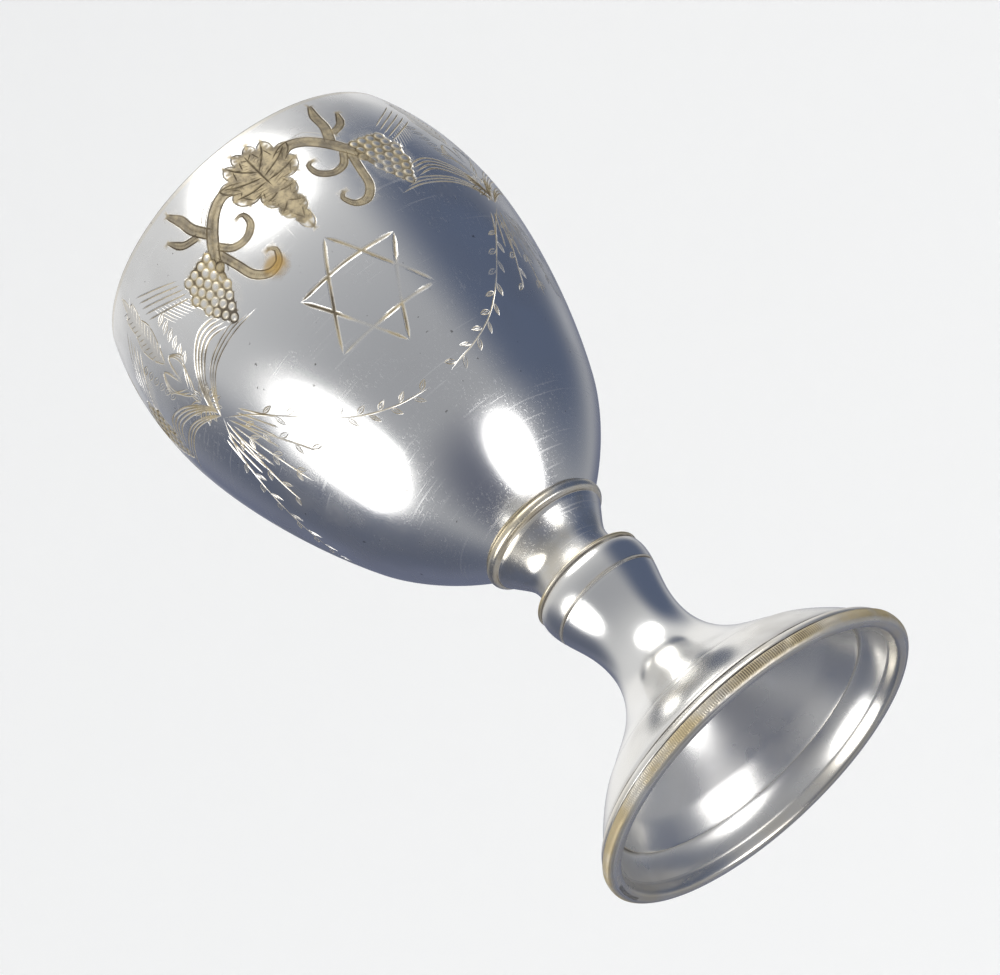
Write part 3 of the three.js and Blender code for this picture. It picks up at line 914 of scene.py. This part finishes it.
def stem_side():
    """The trumpet, the waist, the knop with its scribed ring, and the lip round the top."""
    top = sizes().stem_top / MM
    step = softened([(22.12, 11.52, 0.25, 0), (21.9, 11.6, 0.3, 0), (21.7, 11.62, 0.1, 0.55),
                     (21.45, 11.8, 0.05, 0.2)])
    waist, knop = np.array([7.95, 29.3]), np.array([10.42, top - 2.4])
    trumpet = rings(bend((21.4, 11.86), (17.5, 15.5), waist - (0, 9.85), waist, 34), 0.02)
    rise = bend(waist, waist + (0, 5.6), knop - (0, 3.9), knop, 40)
    below = rings(rise[rise[:, 1] < SCRIBED_FROM], 0.03)
    scribed = softened([(9.76, 38.16, 0.1, 0), (9.84, 38.3, 0.35, 0), (9.6, 38.46, 0, 0.95),
                        (9.62, 38.56, 0, 0.95), (9.98, 38.74, 0.45, 0)], 1)
    above = rings(rise[rise[:, 1] > SCRIBED_TO], 0.08)
    lip = softened([
        (10.3, top - 1.4, 0.15, 0), (10.12, top - 1.1, 0.1, 0.4), (9.86, top - 0.86, 0.1, 0.85),
        (9.92, top - 0.74, 0.1, 0.85), (10.32, top - 0.6, 0.85, 0), (10.35, top - 0.3, 0.85, 0),
        (10.12, top - 0.02, 0.8, 0), (9.4, top, 0.3, 0.3)])
    cap = rings([(8.6, top), (7.2, top), (0, top)], 0.1, 0.8)
    return step + trumpet + below + scribed + above + lip + cap


def underside():
    """The hollow under the foot, from the top of the stem's inside out to the standing ring."""
    foot = sizes().foot_radius / MM
    top = sizes().stem_top / MM - 1.6
    waist, flare = (6.95, 29.1), (21.8, 9.9)
    hollow = rings([(0, top), (5, top), (7.6, top)], 0, 0.3)
    hollow += rings(bend((7.82, top - 0.15), (8.92, top - 1.4), (6.95, 34.1), waist, 12), 0, 0.6)
    hollow += rings(bend(waist, (6.95, 20.5), (16.8, 14.1), flare, 30), 0.02, 0.1)
    hollow += rings(bend(flare, (23.0, 8.7), (24.1, 7.0), (24.8, 6.0), 8), 0.04, 0.1)
    edge = softened([(24.9, 5.8, 0.3, 0), (25.05, 5.78, 0.45, 0), (25.15, 6.15, 0.1, 0.7),
                     (25.45, 6.22, 0.05, 0.6)])
    cove = rings(bend((25.5, 6.15), (26.6, 5.6), (27.6, 3.6), (27.9, 2.3), 9), 0.05, 0.12)
    lip = softened([(27.95, 2.15, 0.1, 0.3), (28.15, 1.9, 0.3, 0), (28.6, 0.5, 0.25, 0),
                    (28.9, 0.1, 0.4, 0), (29.2, 0, 0.4, 0), (foot - 1.3, 0, 0.3, 0.1)])
    return hollow + edge + cove + lip


def foot_rings():
    """All rings of the piece, finest round the milled band and coarser up the slim stem."""
    lower, band, upper = foot_edge()
    milled = []
    for i, row in enumerate(band):
        fluted = min(1.0, (i + 1) / 2, (len(band) - i) / 2)
        milled += lathe_rings([row], MILLED_SEGMENTS, fluted)
    return (lathe_rings(underside(), STEM_SEGMENTS) + lathe_rings(lower, FOOT_SEGMENTS) + milled
            + lathe_rings(upper, FOOT_SEGMENTS) + lathe_rings(stem_side(), STEM_SEGMENTS))


class CUP_OT_stem_and_foot(bpy.types.Operator):
    """Spin the stem with its foot and mill the band round the foot's edge"""
    bl_idname = "cup.stem_and_foot"
    bl_label = "Stem and foot"

    def execute(self, context):
        piece = spun_piece("cup_stem_and_foot", foot_rings())
        dressed(piece, "stem_and_foot", plate_material("foot_plate", scratched=False))
        return {"FINISHED"}


# ---------------------------------------------------------------- shader maths

class Value:
    """A socket that carries a number or a colour; an expression on it adds its Math nodes."""

    def __init__(self, shader, socket):
        self.shader = shader
        self.socket = socket

    def _math(self, operation, a, b, clamp=False):
        settings = {"operation": operation, "use_clamp": clamp}
        return self.shader.node("ShaderNodeMath", settings, [a, b])

    def __add__(self, other):
        return self._math("ADD", self, other)

    def __radd__(self, other):
        return self._math("ADD", other, self)

    def __sub__(self, other):
        return self._math("SUBTRACT", self, other)

    def __rsub__(self, other):
        return self._math("SUBTRACT", other, self)

    def __mul__(self, other):
        return self._math("MULTIPLY", self, other)

    def __rmul__(self, other):
        return self._math("MULTIPLY", other, self)

    def clamped(self):
        return self._math("ADD", self, 0.0, clamp=True)

    def steps(self, low, high):
        """0 below low, 1 above high, smooth between them."""
        return self.shader.node("ShaderNodeMapRange", {"interpolation_type": "SMOOTHSTEP"},
                                {"Value": self, "From Min": low, "From Max": high})


class Shader:
    """Builds one node tree."""

    def __init__(self, tree):
        self.tree = tree
        tree.nodes.clear()

    def node(self, kind, settings=None, inputs=None, output=0):
        """Any node: its settings first, then the values or links of its sockets."""
        made = self.tree.nodes.new(kind)
        for name, value in (settings or {}).items():
            setattr(made, name, value)
        pairs = inputs.items() if isinstance(inputs, dict) else enumerate(inputs or [])
        for name, value in pairs:
            if isinstance(value, Value):
                self.tree.links.new(value.socket, made.inputs[name])
            else:
                made.inputs[name].default_value = value
        return Value(self, made.outputs[output]) if made.outputs else made

    def mix(self, share, a, b):
        """Two colours mixed."""
        return self.node("ShaderNodeMix", {"data_type": "RGBA"}, {0: share, 6: a, 7: b}, 2)

    def noise(self, scale, detail, roughness, stretch=(1, 1, 1), offset=(0, 0, 0), turn=(0, 0, 0)):
        """Noise in the object's own space: a scale of 100 gives patches of about 10 mm."""
        where = self.node("ShaderNodeTexCoord", output=3)
        where = self.node("ShaderNodeMapping", {},
                          {"Vector": where, "Location": offset, "Rotation": turn, "Scale": stretch})
        return self.node("ShaderNodeTexNoise", {},
                         {"Vector": where, "Scale": scale, "Detail": detail, "Roughness": roughness})

    def painted(self, name):
        """A value painted on the mesh."""
        return self.node("ShaderNodeAttribute", {"attribute_name": name}, output=2)


# ---------------------------------------------------------------- finish

STAIN_COLOUR = (0.42, 0.27, 0.08, 1)
STAIN_TURN = math.radians(-14)
STAIN_HEIGHT = 107.0 * MM
STAIN_OUT = 33.9 * MM       # the bowl's radius there
STAIN_REACH = 3.2 * MM
STAIN_RAGGED = 3.2 * MM     # how far its edge strays

# Directions of the fine scratches: how the noise is stretched and turned, and its scale.
SCRATCHES = [((1, 1, 0.02), (0, 0, 0), 3200.0), ((0.03, 0.03, 1), (0.5, 0.2, 0), 2600.0),
             ((1, 0.025, 1), (0.3, 0.7, 0.9), 3000.0)]


def plate_material(name, warm=0.0, engraved=False, scratched=True):
    """Worn silver plate on brass: film, rubbed brass, dirt in the cuts, pits and fine scratches."""
    material = bpy.data.materials.new(name)
    material.use_nodes = True
    shader = Shader(material.node_tree)
    look = finish()
    clean, tarnish, brass, brown = ((*c, 1) for c in (look.silver, look.tarnish, look.brass, look.dirt))
    rub, dirt = shader.painted("rub"), shader.painted("dirt")

    film = (shader.noise(26.0, 3.0, 0.5).steps(0.42, 0.68)
            * shader.noise(90.0, 3.0, 0.5, offset=(3, 1, 2)).steps(0.3, 0.72))
    thin = shader.noise(120.0, 4.0, 0.6, offset=(1, 5, 0))
    worn_through = (rub * (thin.steps(0.28, 0.62) * 0.75 + 0.35)).clamped()
    silver = shader.mix(film * 0.8, clean, tarnish)
    if warm:
        silver = shader.mix(thin.steps(0.35, 0.65) * warm, silver, brass)
    colour = shader.mix(worn_through, silver, brass)
    cleaned = shader.noise(34.0, 2.0, 0.5, offset=(6, 6, 1)).steps(0.34, 0.62)
    kept = shader.noise(170.0, 2.0, 0.5, offset=(7, 2, 4)).steps(0.15, 0.55)
    grime = (dirt * kept * (1.7 - cleaned * 0.9)).clamped()
    matt = worn_through * 0.2 + film * 0.17 + grime * 0.42
    dull = grime * 0.8
    fine = shader.noise(2400.0, 3.0, 0.6)
    grain = fine * 0.006
    if engraved:
        pits = shader.noise(900.0, 2.0, 0.5, offset=(2, 9, 1)).steps(0.735, 0.775)
        ground = shader.painted("ground")
        flecked = shader.noise(420.0, 4.0, 0.7).steps(0.36, 0.66)
        stained = stain_mask(shader)
        colour = shader.mix(ground, colour, shader.mix(flecked * 0.45, (*look.ground, 1), brass))
        colour = shader.mix(stained * 0.85, colour, STAIN_COLOUR)
        colour = shader.mix(pits * 0.6, colour, brown)
        matt = matt + ground * 0.36 + stained * 0.2
        dull = dull + ground * 0.5
        grain = grain + ground * fine * 0.5
    colour = shader.mix(grime * 0.92, colour, brown)

    roughness = matt + look.roughness
    height = shader.noise(55.0, 2.0, 0.4, offset=(4, 4, 4)) * 0.5 + grain
    if scratched:
        scratches = hairlines(shader)
        roughness = roughness + scratches * 0.14
        height = height - scratches * 0.05
    bump = shader.node("ShaderNodeBump", {}, {"Strength": 0.55, "Distance": 0.0001, "Height": height})
    surface = shader.node("ShaderNodeBsdfPrincipled", {}, {
        "Base Color": colour, "Metallic": (1 - dull).clamped(), "Roughness": roughness.clamped(),
        "Normal": bump})
    shader.node("ShaderNodeOutputMaterial", {}, [surface])
    return material


def hairlines(shader):
    """Sparse fine scratches that run three ways over the plate."""
    lines = 0.0
    for stretch, turn, scale in SCRATCHES:
        lines = shader.noise(scale, 1.0, 0.5, stretch, turn=turn).steps(0.64, 0.72) + lines
    return (lines * shader.noise(60.0, 2.0, 0.5, offset=(5, 3, 8)).steps(0.4, 0.65)).clamped()


def stain_mask(shader):
    """The amber stain by a tendril, left of the front star."""
    centre = (STAIN_OUT * math.sin(STAIN_TURN), -STAIN_OUT * math.cos(STAIN_TURN), STAIN_HEIGHT)
    where = shader.node("ShaderNodeTexCoord", output=3)
    away = shader.node("ShaderNodeVectorMath", {"operation": "DISTANCE"}, [where, centre], 1)
    ragged = shader.noise(420.0, 3.0, 0.6) * STAIN_RAGGED
    return 1 - (away + ragged).steps(STAIN_REACH * 0.8, STAIN_REACH * 1.5)


# ---------------------------------------------------------------- studio

BACKDROP_RADIUS = 2.4
BACKDROP_BEND = 1.5
BACKDROP_HEIGHT = 2.6
BACKDROP_GLOW = 0.28
BACKDROP_SEGMENTS = 96
BEND_RINGS = 16

# Round soft boxes: name, azimuth, elevation, distance, width and height, and power.
SOFT_BOXES = [("box_high", 4, 50, 1.0, (1.0, 0.66), 4.9), ("box_left", -72, -14, 1.0, (0.95, 0.62), 4.6),
              ("box_low", 38, -56, 0.9, (0.58, 0.58), 2.65)]
BOX_AIM = 0.55              # height that they face, as a share of the cup's

# The light all round: its first colour, then the areas mixed over it one by one. Each has the azimuth
# and elevation of its middle, the cosines at which it sets in and is full, and its colour.
ROOM_COLOUR = (0.40, 0.415, 0.45, 1)
ROOM_BRIGHTNESS = 0.9
ROOM_AREAS = [
    (0, 90, -0.3, 0.9, (0.79, 0.80, 0.82, 1)),      # pale overhead
    (0, -74, 0.66, 0.95, (0.13, 0.145, 0.20, 1)),   # dark and cool below
    (86, 4, 0.55, 0.93, (0.11, 0.14, 0.22, 1)),     # to the right
    (-128, -8, 0.62, 0.95, (0.12, 0.14, 0.20, 1)),  # to the left and behind
    (178, 8, 0.66, 0.95, (0.16, 0.18, 0.26, 1)),    # and straight behind
    (172, 58, 0.80, 0.95, (1.05, 1.05, 1.05, 1)),   # bright, high behind
]

CAMERA_PLACE = Vector((-0.1407, -0.6676, -0.2543))
CAMERA_AIM = 0.505          # height aimed at, as a share of the cup's
CAMERA_TILT = math.radians(43.6)


def backdrop():
    """A round floor that bends up into a wall all round; seen from below it is clear."""
    bent = [(BACKDROP_RADIUS - BACKDROP_BEND + BACKDROP_BEND * math.sin(t),
             BACKDROP_BEND - BACKDROP_BEND * math.cos(t)) for t in np.linspace(0, math.pi / 2, BEND_RINGS)]
    outline = [(0, 0), (0.3, 0), (0.6, 0), *bent, (BACKDROP_RADIUS, BACKDROP_HEIGHT)]
    points, faces, _ = turned(lathe_rings(rings(outline), BACKDROP_SEGMENTS))
    mesh = bpy.data.meshes.new("backdrop")
    mesh.from_pydata(points.tolist(), [], faces.tolist())
    mesh.polygons.foreach_set("use_smooth", [True] * len(mesh.polygons))
    if mesh.polygons[0].normal.z < 0:
        mesh.flip_normals()
    floor = bpy.data.objects.new("backdrop", mesh)
    bpy.context.scene.collection.objects.link(floor)
    floor.visible_glossy = False
    floor.visible_shadow = False
    mesh.materials.append(pale_floor())


def pale_floor():
    """A matt pale surface with a faint glow, clear from its under side."""
    material = bpy.data.materials.new("pale_floor")
    material.use_nodes = True
    shader = Shader(material.node_tree)
    colour = (*studio().floor_colour, 1)
    lit = shader.node("ShaderNodeBsdfDiffuse", {}, [colour])
    glow = shader.node("ShaderNodeEmission", {}, [colour, BACKDROP_GLOW])
    pale = shader.node("ShaderNodeAddShader", {}, [lit, glow])
    clear = shader.node("ShaderNodeBsdfTransparent")
    below = shader.node("ShaderNodeNewGeometry", output=6)
    surface = shader.node("ShaderNodeMixShader", {}, {0: below, 1: pale, 2: clear})
    shader.node("ShaderNodeOutputMaterial", {}, [surface])
    return material


def direction(azimuth, elevation):
    """From the cup: azimuth 0 is the front, at -Y, and grows towards +X."""
    azimuth, elevation = math.radians(azimuth), math.radians(elevation)
    level = math.cos(elevation)
    return Vector((math.sin(azimuth) * level, -math.cos(azimuth) * level, math.sin(elevation)))


def soft_box(name, azimuth, elevation, away, size, power):
    lamp = bpy.data.lights.new(name, "AREA")
    lamp.shape = "ELLIPSE"
    lamp.size, lamp.size_y = size
    lamp.energy = power * studio().brightness
    box = bpy.data.objects.new(name, lamp)
    aim = Vector((0, 0, sizes().height * BOX_AIM))
    box.location = aim + direction(azimuth, elevation) * away
    box.rotation_euler = (box.location - aim).to_track_quat("Z", "Y").to_euler()
    box.visible_camera = False
    bpy.context.scene.collection.objects.link(box)


def surroundings():
    """Soft grey light from all round, paler overhead, with dark cool areas and one bright one."""
    world = bpy.data.worlds.new("soft_room")
    bpy.context.scene.world = world
    world.use_nodes = True
    shader = Shader(world.node_tree)
    where = shader.node("ShaderNodeTexCoord")
    colour = ROOM_COLOUR
    for azimuth, elevation, low, high, tone in ROOM_AREAS:
        along = shader.node("ShaderNodeVectorMath", {"operation": "DOT_PRODUCT"},
                            [where, tuple(direction(azimuth, elevation))], 1)
        colour = shader.mix(along.steps(low, high), colour, tone)
    light = shader.node("ShaderNodeBackground", {}, {0: colour, 1: ROOM_BRIGHTNESS * studio().brightness})
    shader.node("ShaderNodeOutputWorld", {}, [light])
    bpy.context.scene.view_settings.view_transform = "Standard"


def camera():
    """Low in front of the foot, turned so that the cup leans up and to the left."""
    data = bpy.data.cameras.new("camera")
    data.sensor_width = 36
    data.lens = studio().lens
    data.clip_start = 0.01
    data.clip_end = 50
    view = bpy.data.objects.new("camera", data)
    aim = Vector((0, 0, sizes().height * CAMERA_AIM))
    forward = (aim - CAMERA_PLACE).normalized()
    level = forward.cross(Vector((0, 0, 1))).normalized()
    upright = level.cross(forward)
    up = upright * math.cos(CAMERA_TILT) + level * math.sin(CAMERA_TILT)
    right = level * math.cos(CAMERA_TILT) - upright * math.sin(CAMERA_TILT)
    turn = Matrix((right, up, -forward)).transposed().to_4x4()
    view.matrix_world = Matrix.Translation(CAMERA_PLACE) @ turn
    bpy.context.scene.collection.objects.link(view)
    bpy.context.scene.camera = view


class CUP_OT_stage(bpy.types.Operator):
    """Set up the floor, the soft light and the camera"""
    bl_idname = "cup.stage"
    bl_label = "Stage"

    def execute(self, context):
        backdrop()
        surroundings()
        for box in SOFT_BOXES:
            soft_box(*box)
        camera()
        return {"FINISHED"}


# ---------------------------------------------------------------- panel

STEPS = (CUP_OT_bowl, CUP_OT_collar, CUP_OT_stem_and_foot, CUP_OT_stage)
SETTINGS = {"cup_sizes": CupSizes, "cup_engraving": CupEngraving, "cup_finish": CupFinish,
            "cup_studio": CupStudio}


class CUP_PT_panel(bpy.types.Panel):
    """The cup's pieces, one button each, and their settings"""
    bl_idname = "CUP_PT_panel"
    bl_label = "Kiddush Cup"
    bl_space_type = "VIEW_3D"
    bl_region_type = "UI"
    bl_category = "Cup"

    def draw(self, context):
        for step in STEPS:
            self.layout.operator(step.bl_idname)
        for name, group in SETTINGS.items():
            box = self.layout.box()
            for field in group.__annotations__:
                box.prop(getattr(context.scene, name), field)


def register():
    for item in (*SETTINGS.values(), *STEPS, CUP_PT_panel):
        bpy.utils.register_class(item)
    for name, group in SETTINGS.items():
        setattr(bpy.types.Scene, name, PointerProperty(type=group))


def unregister():
    for name in SETTINGS:
        delattr(bpy.types.Scene, name)
    for item in reversed((*SETTINGS.values(), *STEPS, CUP_PT_panel)):
        bpy.utils.unregister_class(item)


def main():
    register()
    bpy.ops.cup.bowl()
    bpy.ops.cup.collar()
    bpy.ops.cup.stem_and_foot()
    bpy.ops.cup.stage()


if __name__ == "__main__":
    main()
